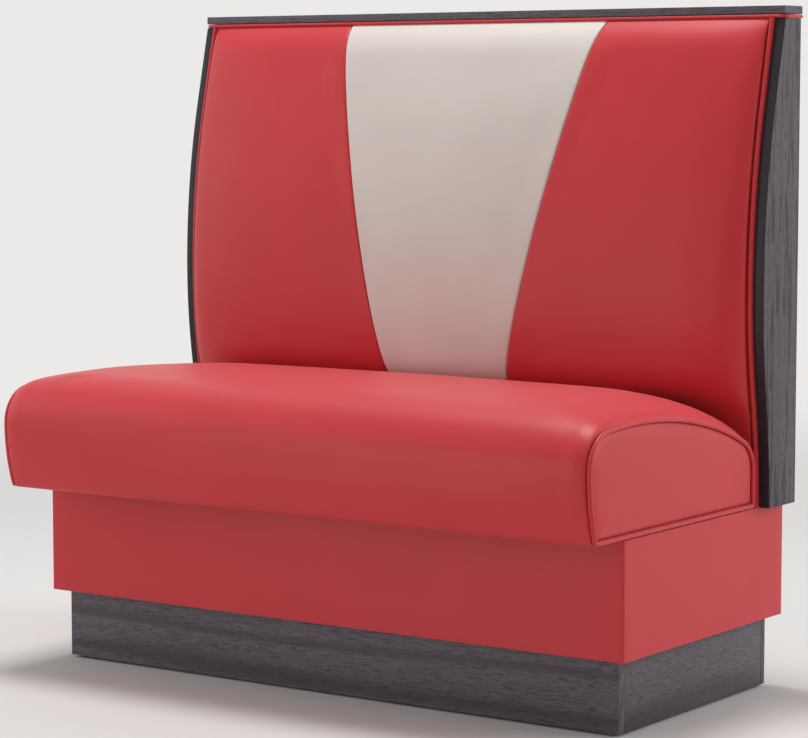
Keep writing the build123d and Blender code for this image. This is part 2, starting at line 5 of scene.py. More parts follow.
import bpy
import numpy as np
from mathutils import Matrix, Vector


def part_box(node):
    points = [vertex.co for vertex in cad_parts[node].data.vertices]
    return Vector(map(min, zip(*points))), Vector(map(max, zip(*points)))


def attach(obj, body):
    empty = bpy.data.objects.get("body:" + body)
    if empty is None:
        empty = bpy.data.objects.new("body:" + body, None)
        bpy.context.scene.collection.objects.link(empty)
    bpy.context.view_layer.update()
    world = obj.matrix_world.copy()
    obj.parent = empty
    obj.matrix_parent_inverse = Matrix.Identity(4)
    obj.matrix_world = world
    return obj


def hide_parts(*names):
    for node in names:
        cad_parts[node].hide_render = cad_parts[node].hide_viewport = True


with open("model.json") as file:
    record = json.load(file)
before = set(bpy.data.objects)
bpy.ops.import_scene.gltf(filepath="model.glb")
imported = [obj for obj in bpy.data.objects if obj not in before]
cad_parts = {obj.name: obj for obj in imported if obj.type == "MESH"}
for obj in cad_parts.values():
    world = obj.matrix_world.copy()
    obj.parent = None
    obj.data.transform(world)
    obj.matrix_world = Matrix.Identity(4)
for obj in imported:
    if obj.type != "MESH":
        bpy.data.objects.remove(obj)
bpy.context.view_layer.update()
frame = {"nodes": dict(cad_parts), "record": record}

scene = bpy.context.scene
mm = 0.001

# Camera at the photograph's viewing angle
view = {
    "place": (2.5979, -3.6710, 0.92835),
    "turn": 34.96,  # degrees round from the front
    "dip": 5.458,  # degrees downwards
    "lens": 126.13,
    "sensor": 36,
}
cameraData = bpy.data.cameras.new("Camera")
cameraData.lens = view["lens"]
cameraData.sensor_fit = "HORIZONTAL"
cameraData.sensor_width = view["sensor"]
camera = bpy.data.objects.new("Camera", cameraData)
camera.location = view["place"]
camera.rotation_euler = (radians(90 - view["dip"]), 0, radians(view["turn"]))
scene.collection.objects.link(camera)
scene.camera = camera
scene.view_settings.view_transform = "Standard"
print("camera set")


# Materials

def linear(code):
    parts = [int(code[place:place + 2], 16) / 255 for place in (1, 3, 5)]
    return [v / 12.92 if v <= 0.04045 else ((v + 0.055) / 1.055) ** 2.4 for v in parts] + [1]


def addNode(tree, kind, sockets=None, stops=(), **settings):
    # sockets: values, or outputs to link, by name; stops: a colour ramp's (place, linear colour)
    node = tree.nodes.new(kind)
    for name, value in settings.items():
        setattr(node, name, value)
    for name, value in (sockets or {}).items():
        if isinstance(value, bpy.types.NodeSocket):
            tree.links.new(value, node.inputs[name])
        else:
            node.inputs[name].default_value = value
    for (place, colour), element in zip(stops, node.color_ramp.elements if stops else ()):
        element.position = place
        element.color = colour
    return node


def newMaterial(name):
    # A material, its node tree, its shader, and the object coordinates that all its textures use
    material = bpy.data.materials.new(name)
    material.use_nodes = True
    tree = material.node_tree
    spot = addNode(tree, "ShaderNodeTexCoord").outputs["Object"]
    return material, tree, tree.nodes["Principled BSDF"], spot


def vinyl(name, look):
    # Upholstery vinyl, calendered PVC on knit: even colour, satin sheen, a fine pressed leather grain
    material, tree, shader, spot = newMaterial(name)
    cloud = addNode(tree, "ShaderNodeTexNoise", {
        "Vector": spot, "Scale": 1 / look["cloud"], "Detail": look["cloudDetail"]})
    tint = addNode(tree, "ShaderNodeValToRGB", {"Fac": cloud.outputs["Fac"]}, [
        (look["deepBelow"], linear(look["deep"])), (look["lightAbove"], linear(look["light"]))])
    tree.links.new(tint.outputs["Color"], shader.inputs["Base Color"])
    grain = addNode(tree, "ShaderNodeTexVoronoi", {"Vector": spot, "Scale": 1 / look["grain"]},
                    feature="SMOOTH_F1")
    pore = addNode(tree, "ShaderNodeTexNoise", {
        "Vector": spot, "Scale": look["poresPerGrain"] / look["grain"], "Detail": look["poreDetail"]})
    relief = addNode(tree, "ShaderNodeMath", {0: grain.outputs["Distance"], 1: pore.outputs["Fac"]},
                     operation="ADD")
    wave = addNode(tree, "ShaderNodeTexNoise", {
        "Vector": spot, "Scale": 1 / look["wave"], "Detail": look["waveDetail"]})
    soft = addNode(tree, "ShaderNodeBump", {
        "Height": wave.outputs["Fac"], "Strength": look["slack"], "Distance": look["waveDepth"]})
    bump = addNode(tree, "ShaderNodeBump", {
        "Height": relief.outputs["Value"], "Strength": look["press"], "Distance": look["grainDepth"],
        "Normal": soft.outputs["Normal"]})
    tree.links.new(bump.outputs["Normal"], shader.inputs["Normal"])
    rough = addNode(tree, "ShaderNodeMapRange", {
        "Value": pore.outputs["Fac"], "To Min": look["rough"] - look["roughSpread"],
        "To Max": look["rough"] + look["roughSpread"]})
    tree.links.new(rough.outputs["Result"], shader.inputs["Roughness"])
    shader.inputs["IOR"].default_value = plasticIor
    shader.inputs["Specular IOR Level"].default_value = look["gloss"]
    shader.inputs["Sheen Weight"].default_value = look["sheen"]
    shader.inputs["Sheen Roughness"].default_value = look["sheenSpread"]
    return material


plasticIor = 1.5  # PVC and lacquer alike
vinylLook = {
    "cloud": 140 * mm,  # size of the faint drift between the two tones
    "cloudDetail": 2,
    "deepBelow": 0.3,
    "lightAbove": 0.7,
    "grain": 1.1 * mm,  # one cell of the pressed grain
    "grainDepth": 0.05 * mm,
    "poresPerGrain": 2.3,
    "poreDetail": 3,
    "press": 0.25,
    "wave": 70 * mm,  # slackness of the hide over the foam
    "waveDepth": 0.6 * mm,
    "waveDetail": 1,
    "slack": 0.25,
    "rough": 0.46,
    "roughSpread": 0.04,
    "sheen": 0.11,
    "sheenSpread": 0.5,
    "gloss": 0.34,
}
redVinyl = vinyl("redVinyl", {**vinylLook, "deep": "#c0282f", "light": "#c52b32"})
creamVinyl = vinyl("creamVinyl", {**vinylLook, "deep": "#d3c9c2", "light": "#d8cfc8", "rough": 0.5})


def oak(name, look, axis):
    # Charcoal stained oak under satin lacquer: long dark pores and faint rings along the board
    material, tree, shader, spot = newMaterial(name)
    turns = {"x": (0, 0, 0), "y": (0, 0, pi / 2), "z": (0, pi / 2, 0)}
    turned = addNode(tree, "ShaderNodeMapping", {
        "Vector": spot, "Rotation": turns[axis]}).outputs["Vector"]
    fine = addNode(tree, "ShaderNodeMapping", {
        "Vector": turned,
        "Scale": (1 / look["poreLength"], 1 / look["poreWidth"], 1 / look["poreWidth"])})
    pores = addNode(tree, "ShaderNodeTexNoise", {
        "Vector": fine.outputs["Vector"], "Scale": 1, "Detail": look["poreDetail"],
        "Roughness": look["poreBreaks"]})
    wide = addNode(tree, "ShaderNodeMapping", {
        "Vector": turned, "Location": look["pith"],
        "Scale": (1 / look["ringLength"], 1 / look["ringWidth"], 1 / look["ringWidth"])})
    drift = addNode(tree, "ShaderNodeTexNoise", {
        "Vector": wide.outputs["Vector"], "Scale": look["ringScale"], "Detail": look["driftDetail"]})
    swirl = addNode(tree, "ShaderNodeMixRGB", {
        "Fac": look["drift"], "Color1": wide.outputs["Vector"], "Color2": drift.outputs["Color"]},
        blend_type="ADD")
    rings = addNode(tree, "ShaderNodeTexWave", {
        "Vector": swirl.outputs["Color"], "Scale": look["ringScale"], "Distortion": look["wander"],
        "Detail": look["ringDetail"], "Detail Scale": look["flutter"]},
        wave_type="RINGS", rings_direction="X")
    poreTone = addNode(tree, "ShaderNodeValToRGB", {"Fac": pores.outputs["Fac"]}, [
        (look["poreBelow"], [0, 0, 0, 1]), (look["woodAbove"], [1, 1, 1, 1])]).outputs["Color"]
    ringTone = addNode(tree, "ShaderNodeValToRGB", {"Fac": rings.outputs["Fac"]}, [
        (0, linear(look["ring"])), (look["ringShare"], linear(look["stain"]))]).outputs["Color"]
    tone = addNode(tree, "ShaderNodeMixRGB", {
        "Fac": poreTone, "Color1": linear(look["pore"]), "Color2": ringTone})
    tree.links.new(tone.outputs["Color"], shader.inputs["Base Color"])
    bump = addNode(tree, "ShaderNodeBump", {
        "Height": poreTone, "Strength": look["poreRelief"], "Distance": look["poreDepth"]})
    tree.links.new(bump.outputs["Normal"], shader.inputs["Normal"])
    rough = addNode(tree, "ShaderNodeMapRange", {
        "Value": pores.outputs["Fac"], "To Min": look["poreRough"], "To Max": look["woodRough"]})
    tree.links.new(rough.outputs["Result"], shader.inputs["Roughness"])
    shader.inputs["IOR"].default_value = plasticIor
    shader.inputs["Specular IOR Level"].default_value = look["gloss"]
    return material


oakLook = {
    "stain": "#5a545b",
    "ring": "#463f46",
    "pore": "#353136",
    "poreLength": 16 * mm,
    "poreWidth": 0.9 * mm,  # real pores are 0.3 mm wide; drawn coarser so that they show
    "poreDetail": 4,
    "poreBreaks": 0.6,
    "poreBelow": 0.36,
    "woodAbove": 0.52,
    "poreRelief": 0.5,
    "poreDepth": 0.12 * mm,
    "poreRough": 0.52,
    "woodRough": 0.4,
    "gloss": 0.22,
    "ringLength": 420 * mm,
    "ringWidth": 26 * mm,
    "ringScale": 0.35,
    "ringDetail": 3,
    "pith": (0, 0, 0),  # how far off the tree's middle lies, in ring widths
    "ringShare": 0.45,  # how much of each ring is dark
    "drift": 0.75,
    "driftDetail": 2,
    "wander": 3.2,
    "flutter": 1.2,
}
plinthLook = {**oakLook, "stain": "#655e66", "ring": "#514a51", "pore": "#3c373c"}
oakAlongX = oak("stainedOakLong", plinthLook, "x")
oakAlongY = oak("stainedOakDeep", plinthLook, "y")
oakUpright = oak("stainedOakUpright", oakLook, "z")
veneerLook = {**oakLook, "ring": "#4e484f", "ringWidth": 41 * mm, "pith": (2.3, 4.1, 37), "wander": 9}
oakVeneer = oak("stainedOakVeneer", veneerLook, "z")
# Side panels cut near the middle of the tree: dark cathedral lines towards the rear edge
figuredLook = {
    **oakLook, "ring": "#322d33", "pore": "#302b31", "ringLength": 210 * mm, "ringWidth": 15 * mm,
    "ringShare": 0.2, "wander": 8, "flutter": 3.4,
}
oakFigured = {
    "Left": oak("stainedOakFiguredLeft", {**figuredLook, "pith": (1.4, -19.4, -35)}, "z"),
    "Right": oak("stainedOakFiguredRight", {**figuredLook, "pith": (0.3, -19.4, 41)}, "z"),
}


def edgeBand(name, look):
    # Black-brown edge veneer under the same lacquer: reads as a dark line round the side panels
    material, tree, shader, spot = newMaterial(name)
    stretch = addNode(tree, "ShaderNodeMapping", {"Vector": spot, "Scale": look["streaks"]})
    grain = addNode(tree, "ShaderNodeTexNoise", {
        "Vector": stretch.outputs["Vector"], "Scale": 1, "Detail": look["detail"]})
    tone = addNode(tree, "ShaderNodeValToRGB", {"Fac": grain.outputs["Fac"]}, [
        (look["darkBelow"], linear(look["dark"])), (look["lightAbove"], linear(look["light"]))])
    tree.links.new(tone.outputs["Color"], shader.inputs["Base Color"])
    shader.inputs["Roughness"].default_value = look["rough"]
    shader.inputs["Specular IOR Level"].default_value = look["gloss"]
    return material


darkEdge = edgeBand("edgeVeneer", {
    "dark": "#252124",
    "light": "#332e33",
    "darkBelow": 0.35,
    "lightAbove": 0.6,
    "streaks": (900, 900, 60),  # to a metre
    "detail": 3,
    "rough": 0.42,
    "gloss": 0.2,
})


def speckled(name, look):
    material, tree, shader, spot = newMaterial(name)
    speck = addNode(tree, "ShaderNodeTexNoise", {
        "Vector": spot, "Scale": 1 / look["speck"], "Detail": speckLook["detail"]})
    tone = addNode(tree, "ShaderNodeValToRGB", {"Fac": speck.outputs["Fac"]}, [
        (speckLook["darkBelow"], linear(look["dark"])),
        (speckLook["lightAbove"], linear(look["light"]))])
    tree.links.new(tone.outputs["Color"], shader.inputs["Base Color"])
    bump = addNode(tree, "ShaderNodeBump", {
        "Height": speck.outputs["Fac"], "Strength": speckLook["relief"], "Distance": look["depth"]})
    tree.links.new(bump.outputs["Normal"], shader.inputs["Normal"])
    shader.inputs["Roughness"].default_value = look["rough"]
    shader.inputs["Metallic"].default_value = look["metal"]
    return material


speckLook = {"detail": 4, "darkBelow": 0.35, "lightAbove": 0.65, "relief": 0.4}
# Raw birch sheet: warm, mottled and matt
birchPly = speckled("birchPlywood", {
    "dark": "#b58f62", "light": "#c9a678",
    "speck": 9 * mm, "depth": 0.05 * mm, "rough": 0.6, "metal": 0})
# Zinc plating: bright, with small spangles
zincSteel = speckled("zincPlatedSteel", {
    "dark": "#8f9296", "light": "#b4b7ba",
    "speck": 3 * mm, "depth": 0.05 * mm, "rough": 0.34, "metal": 1})
# Pressed felt and cambric: fuzzy, with no shine
blackFelt = speckled("blackFelt", {
    "dark": "#141416", "light": "#222226",
    "speck": 0.8 * mm, "depth": 0.3 * mm, "rough": 0.95, "metal": 0})
# Cut polyurethane foam: open cells, matt
paleFoam = speckled("polyurethaneFoam", {
    "dark": "#cfc08a", "light": "#dfd2a0",
    "speck": 1.5 * mm, "depth": 0.4 * mm, "rough": 0.95, "metal": 0})
slotMaterials = {
    "plywood": birchPly,
    "zinc_steel": zincSteel,
    "glide_steel": zincSteel,
    "felt_and_cambric": blackFelt,
    "stained_oak": oakUpright,
    "red_vinyl": redVinyl,
    "cream_vinyl": creamVinyl,
    "foam": paleFoam,
}
for part in frame["record"]["subparts"]:
    solid = frame["nodes"][part["node"]]
    solid.data.materials.clear()
    solid.data.materials.append(slotMaterials[part["material_slot"]])
frame["nodes"]["back_top_rail"].data.materials[0] = oakUpright  # its stained edge shows behind the cap
print("materials made")


# Mesh helpers

touching = 0.01 * mm  # corners this close are one corner
tiny = 1e-9  # stands for nothing where a length divides
smoothing = {"levels": 1, "render_levels": 1, "use_limit_surface": False}
sides = ((-1, "Left"), (1, "Right"))


def clearSelection():
    if bpy.context.mode != "OBJECT":
        bpy.ops.object.mode_set(mode="OBJECT")
    bpy.ops.object.select_all(action="DESELECT")


def pick(piece):
    clearSelection()
    piece.select_set(True)
    bpy.context.view_layer.objects.active = piece


def editAll(piece, kind="VERT"):
    pick(piece)
    bpy.ops.object.mode_set(mode="EDIT")
    bpy.ops.mesh.select_mode(type=kind)
    bpy.ops.mesh.select_all(action="SELECT")


def selectWhere(piece, kind, test):
    # Leaves the piece in edit mode, with only those faces or edges chosen that pass the test
    editAll(piece, kind)
    bpy.ops.mesh.select_all(action="DESELECT")
    bpy.ops.object.mode_set(mode="OBJECT")
    for element in piece.data.polygons if kind == "FACE" else piece.data.edges:
        element.select = test(element)
    bpy.ops.object.mode_set(mode="EDIT")


def faceOutwards(piece):
    editAll(piece)
    bpy.ops.mesh.remove_doubles(threshold=touching)
    bpy.ops.mesh.normals_make_consistent(inside=False)
    bpy.ops.object.mode_set(mode="OBJECT")


def coordinates(piece):
    flat = np.zeros(len(piece.data.vertices) * 3, np.float32)
    piece.data.vertices.foreach_get("co", flat)
    return flat.reshape(-1, 3)


def gridPiece(name, points, closeEnds=True):
    # A grid whose corners are moved to a table of places, columns first
    columns, rows = points.shape[0] - 1, points.shape[1] - 1
    clearSelection()
    bpy.ops.mesh.primitive_grid_add(x_subdivisions=columns, y_subdivisions=rows, size=2)
    piece = bpy.context.object
    piece.name = name
    drawn = coordinates(piece)
    column = np.rint((drawn[:, 0] + 1) / 2 * columns).astype(int)
    row = np.rint((drawn[:, 1] + 1) / 2 * rows).astype(int)
    piece.data.vertices.foreach_set("co", points[column, row].astype(np.float32).ravel())
    editAll(piece)
    bpy.ops.mesh.remove_doubles(threshold=touching)
    if closeEnds:
        bpy.ops.mesh.select_all(action="SELECT")
        bpy.ops.mesh.fill_holes(sides=0)
    bpy.ops.object.mode_set(mode="OBJECT")
    faceOutwards(piece)
    return piece


def applyModifier(piece, kind, **settings):
    pick(piece)
    modifier = piece.modifiers.new(kind.title(), kind)
    for name, value in settings.items():
        setattr(modifier, name, value)
    bpy.ops.object.modifier_apply(modifier=modifier.name)


def finishPiece(piece, body, material, replaced, angle=None):
    # angle: smooth shading only across edges flatter than so many degrees
    pick(piece)
    if angle is None:
        bpy.ops.object.shade_smooth()
    else:
        bpy.ops.object.shade_smooth_by_angle(angle=radians(angle))
    if not piece.data.materials:
        piece.data.materials.append(material)
    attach(piece, body)
    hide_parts(*replaced)


padding = {
    "pressure": 4,
    "mass": 0.003,
    "frames": 14,
    "quality": 3,
    "slack": 3 * mm,  # how far the free cover starts inside its drawn shape
}


def plump(piece, freeShare, most):
    # Cloth blown up from a slightly smaller shape, held at its seams, and at most so far past
    # its drawn shape
    drawn = coordinates(piece)
    free = np.array([freeShare(*place) for place in drawn], np.float32)
    normals = np.array([vertex.normal[:] for vertex in piece.data.vertices], np.float32)
    start = drawn - normals * (free * padding["slack"])[:, None]
    piece.data.vertices.foreach_set("co", start.ravel())
    held = piece.vertex_groups.new(name="held")
    for index, share in enumerate(free):
        held.add([index], float(1 - share), "REPLACE")
    cloth = piece.modifiers.new("Cloth", "CLOTH")
    cloth.settings.vertex_group_mass = "held"
    cloth.settings.use_pressure = True
    cloth.settings.uniform_pressure_force = padding["pressure"]
    cloth.settings.mass = padding["mass"]
    cloth.settings.quality = padding["quality"]
    cloth.settings.effector_weights.gravity = 0
    cloth.point_cache.frame_end = padding["frames"]
    for moment in range(1, padding["frames"] + 1):
        scene.frame_set(moment)
    shift = coordinates(piece.evaluated_get(bpy.context.evaluated_depsgraph_get())) - drawn
    length = np.linalg.norm(shift, axis=1)
    print(piece.name, "swelled by", round(float(length.max()) / mm, 1), "mm at most,",
          round(float(length[free > 0.5].mean()) / mm, 1), "on average")
    capped = most * np.tanh(length / most)
    shift *= (capped / np.maximum(length, tiny))[:, None]
    piece.modifiers.remove(cloth)
    piece.vertex_groups.clear()
    scene.frame_set(1)
    padded = (drawn + shift * free[:, None]).astype(np.float32)
    piece.data.vertices.foreach_set("co", padded.ravel())
    piece.data.update()


def rampUp(value, low, high):
    # 0 below low, 1 above high, smooth between
    share = min(max((value - low) / (high - low), 0), 1)
    return share * share * (3 - 2 * share)


def rotated(vector, angle):
    return np.array([vector[0] * cos(angle) - vector[1] * sin(angle),
                     vector[0] * sin(angle) + vector[1] * cos(angle)])


def straightLine(start, end, count):
    return [start + (end - start) * step / count for step in range(1, count + 1)]


def tangentArc(start, heading, end, count):
    # Points after start along the arc that leaves it with a heading, and the heading at its end
    chord = end - start
    side = np.array([-heading[1], heading[0]])
    lean = chord @ side
    if abs(lean) < tiny:
        return straightLine(start, end, count), heading
    sweep = 2 * atan2(lean, chord @ heading)
    centre = start + side * (chord @ chord) / (2 * lean)
    points = [centre + rotated(start - centre, sweep * step / count) for step in range(1, count + 1)]
    return points, rotated(heading, sweep)


def closedNormals(loop):
    # Outward normals of a closed outline that runs clockwise seen along +X
    step = np.roll(loop, -1, axis=0) - np.roll(loop, 1, axis=0)
    step /= np.linalg.norm(step, axis=1)[:, None]
    return np.stack([-step[:, 1], step[:, 0]], axis=1)


def shrunk(ring, share):
    middleSpot = (ring.max(axis=0) + ring.min(axis=0)) / 2
    return middleSpot + (ring - middleSpot) * share


def bellWeights(spread, step):
    # How many neighbours a softened value takes in on each side, and the weights of all of them
    reach = int(3 * spread / step)
    weights = np.exp(-0.5 * (np.arange(-reach, reach + 1) * step / spread) ** 2)
    return reach, weights / weights.sum()


# Seat cushion

coverLow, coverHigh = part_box("seat_cover")
seat = {
    # the outline at the ends, as distances forward from the cushion's rear and up from its foot
    "toe": 475.5 * mm,
    "bulge": (18 * mm, 106 * mm),  # forward from the toe
    "shoulder": (440.5 * mm, 165 * mm),
    "fall": (113.5 * mm, 138.3 * mm),
    "rear": (32.5 * mm, 109.3 * mm),
    # how much further each point lies in the middle
    "crownBulge": 10 * mm,
    "crownShoulder": (-10 * mm, 19 * mm),
    "crownFall": (0, 46 * mm),
    "crownRear": (10 * mm, 59.5 * mm),
    "footRun": 14 * mm,  # strip at each edge of the underside
    "steps": {"foot": (2, 18, 3), "toe": 8, "front": 10, "top": 26, "fall": 9, "rear": 7, "back": 6},
    "roll": (95 * mm, 190 * mm),  # how far the front and the rear take to rise from an end
    "rollPower": (0.58, 0.7),
    "rollShare": 0.95,
    "tuck": 1.5 * mm,  # how deep the cover is drawn in at the welt, and over what run
    "tuckRun": 4 * mm,
    "runs": [0, 1.2, 2.6, 4.4, 6.6, 9.1, 15, 22, 30, 39, 48, 58, 69, 80],  # columns near the ends, mm
    "middleColumns": 66,
    "capShares": [0, 0.4, 0.75, 0.96],  # rings that close each end
    # the most it swells, and over which distances from each edge the cloth comes free
    "swell": 3 * mm,
    "freeEnds": (8 * mm, 45 * mm),
    "freeFoot": (12 * mm, 50 * mm),
    "freeRear": (0.1, 0.16),  # places along Y, under the back
}
seatHalf = coverHigh.x
seatRear = coverHigh.y
seatFoot = coverLow.z


def seatSpot(forward, up):
    return np.array([seatRear - forward, seatFoot + up])


def seatOutline(frontShare, rearShare):
    toe = seatSpot(seat["toe"], 0)
    bulge = seatSpot(seat["toe"] + seat["bulge"][0] + seat["crownBulge"] * frontShare, seat["bulge"][1])
    shoulder, fall, rear = [
        seatSpot(seat[name][0] + seat[crown][0] * share, seat[name][1] + seat[crown][1] * share)
        for name, crown, share in (
            ("shoulder", "crownShoulder", frontShare), ("fall", "crownFall", rearShare),
            ("rear", "crownRear", rearShare))
    ]
    steps = seat["steps"]
    foot = seatSpot(0, 0)
    line = [foot]
    stops = (seat["footRun"], seat["toe"] - seat["footRun"], seat["toe"])
    for forward, count in zip(stops, steps["foot"]):
        line += straightLine(line[-1], seatSpot(forward, 0), count)
    down, heading = tangentArc(bulge, np.array([0.0, -1.0]), toe, steps["toe"])
    line += down[-2::-1] + [bulge]
    start, heading = bulge, np.array([0.0, 1.0])
    for end, part in ((shoulder, "front"), (fall, "top"), (rear, "fall")):
        points, heading = tangentArc(start, heading, end, steps[part])
        line += points
        start = end
    # the rear ends upright at the height where the last arc meets it
    droop = atan2(-heading[1], heading[0])
    backTop = np.array([seatRear, rear[1] - (seatRear - rear[0]) * tan((droop + pi / 2) / 2)])
    points, heading = tangentArc(rear, heading, backTop, steps["rear"])
    line += points
    line += straightLine(backTop, foot, steps["back"])
    return np.array(line)


def crownShares(run):
    # How much of the crown the front and the rear have, so far from an end
    shares = []
    for width, power in zip(seat["roll"], seat["rollPower"]):
        roll = min(run / width, 1)
        rise = (1 - (1 - roll) ** 2) ** power
        shares.append(seat["rollShare"] * rise + (1 - seat["rollShare"]) * run / seatHalf)
    return shares


def seatColumn(x):
    run = max(seatHalf - abs(x), 0)
    line = seatOutline(*crownShares(run))
    tuck = 1 - min(run / seat["tuckRun"], 1)
    inwards = closedNormals(line[:-1]) * seat["tuck"] * (1 - sqrt(1 - tuck * tuck))
    line[:-1] -= inwards
    line[-1] = line[0]
    return np.column_stack([np.full(len(line), x), line])


endRuns = [run * mm for run in seat["runs"]]
leftColumns = [run - seatHalf for run in endRuns]
rightColumns = [seatHalf - run for run in reversed(endRuns)]
middle = list(np.linspace(leftColumns[-1], rightColumns[0], seat["middleColumns"] + 1)[1:-1])
columns = [seatColumn(x) for x in leftColumns + middle + rightColumns]
leftCap = [shrunk(columns[0], share) for share in seat["capShares"]]
rightCap = [shrunk(columns[-1], share) for share in reversed(seat["capShares"])]
seatCushion = gridPiece("seatCushion", np.array(leftCap + columns + rightCap))

# The hollow under it that takes the sprung frame
frameLow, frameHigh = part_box("seat_rail_front")
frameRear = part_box("seat_rail_rear")[1].y
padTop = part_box("seat_spring_pad")[1].z


def overFrame(x, y, margin):
    return abs(x) < frameHigh.x + margin and frameLow.y - margin < y < frameRear + margin


def underFrame(face):
    return overFrame(face.center.x, face.center.y, 0) and face.center.z < seatFoot + 0.5 * mm


selectWhere(seatCushion, "FACE", underFrame)
bpy.ops.mesh.extrude_region_move(TRANSFORM_OT_translate={"value": (0, 0, padTop - seatFoot)})
faceOutwards(seatCushion)


def seatFree(x, y, z):
    if overFrame(x, y, mm) and z < padTop + mm:
        return 0
    away = rampUp(seatHalf - abs(x), *seat["freeEnds"])
    up = rampUp(z - seatFoot, *seat["freeFoot"])
    return away * up * (1 - rampUp(y, *seat["freeRear"]))


plump(seatCushion, seatFree, seat["swell"])
applyModifier(seatCushion, "SUBSURF", **smoothing)
finishPiece(seatCushion, "seat", redVinyl, ("seat_cover", "seat_foam"))
print("seat cushion made")

# Seat ends: a flat crowned panel inside a closed welt

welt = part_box("seat_welt_right")
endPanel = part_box("seat_end_right")
ends = {
    "weltRadius": (welt[1].x - welt[0].x) / 2,
    "weltPlace": (welt[1].x + welt[0].x) / 2,
    "weltSides": 14,
    "panelInset": 7.9 * mm,
    # how far in from the panel's edge, and how far out from its inner face, mm
    "panelRise": [(0, 0), (0, 1.2), (0.8, 2.0), (2, 2.8), (4, 3.6), (7, 4.4), (11, 5.1), (17, 5.8),
                  (25, 6.4), (36, 6.8), (48, 7.1), (60, 7.3)],
    "innerShares": [0, 0.35, 0.7, 0.95],
    "outerShares": [0.75, 0.5, 0.25, 0],
    "softening": 2.6 * mm,  # takes the corners off the outline that the panel and the welt follow
    "fineSteps": 1200,
    "steps": 300,
}


def resampled(loop, count):
    closed = np.vstack([loop, loop[:1]])
    along = np.concatenate([[0], np.cumsum(np.linalg.norm(np.diff(closed, axis=0), axis=1))])
    stops = np.linspace(0, along[-1], count + 1)[:-1]
    return np.column_stack([np.interp(stops, along, closed[:, axis]) for axis in (0, 1)])


def softened(loop, spread):
    # Rounds the corners of a closed, evenly spaced outline
    reach, weights = bellWeights(spread, np.linalg.norm(loop[1] - loop[0]))
    return sum(weight * np.roll(loop, shift, axis=0)
               for shift, weight in zip(range(-reach, reach + 1), weights))


endOutline = softened(resampled(seatOutline(0, 0)[:-1], ends["fineSteps"]), ends["softening"])
endOutline = resampled(endOutline, ends["steps"])
outwards = closedNormals(endOutline)


def ringSection(radius, count):
    turns = [2 * pi * step / count for step in range(count)]
    return [(radius * cos(turn), radius * sin(turn)) for turn in turns]


def tube(name, path, side, section, closed):
    # A section (across, up) swept along points, with its across kept in one direction
    ahead = np.roll(path, -1, axis=0) - np.roll(path, 1, axis=0)
    if not closed:
        ahead[0], ahead[-1] = path[1] - path[0], path[-1] - path[-2]
    ahead /= np.linalg.norm(ahead, axis=1)[:, None]
    up = np.cross(ahead, side)
    rings = [path + a * side + b * up for a, b in section + section[:1]]
    points = np.array(rings).transpose(1, 0, 2)
    if closed:
        points = np.concatenate([points, points[:1]])
    return gridPiece(name, points, closeEnds=not closed)


for side, word in sides:
    nodeWord = word.lower()
    path = endOutline - outwards * ends["weltRadius"]
    path = np.column_stack([np.full(len(path), side * ends["weltPlace"]), path])
    section = ringSection(ends["weltRadius"], ends["weltSides"])
    seatWelt = tube("seatWelt" + word, path, np.array([1.0, 0, 0]), section, True)
    finishPiece(seatWelt, "seat", redVinyl, ("seat_welt_" + nodeWord,))

    rim = endOutline - outwards * ends["panelInset"]
    middleSpot = (rim.max(axis=0) + rim.min(axis=0)) / 2
    reach = (rim.max(axis=0) - rim.min(axis=0)) / 2
    rings = []
    for inset, rise in ends["panelRise"]:
        ring = middleSpot + (rim - middleSpot) * (1 - inset * mm / reach)
        x = side * (endPanel[0].x + rise * mm)
        rings.append(np.column_stack([np.full(len(ring) + 1, x), np.vstack([ring, ring[:1]])]))
    rings = ([shrunk(rings[0], share) for share in ends["innerShares"]] + rings
             + [shrunk(rings[-1], share) for share in ends["outerShares"]])
    seatEnd = gridPiece("seatEnd" + word, np.array(rings))
    applyModifier(seatEnd, "SUBSURF", **smoothing)
    finishPiece(seatEnd, "seat", redVinyl, ("seat_end_" + nodeWord,))
print("seat ends made")

# Back: three padded panels sewn along the two slanting seams

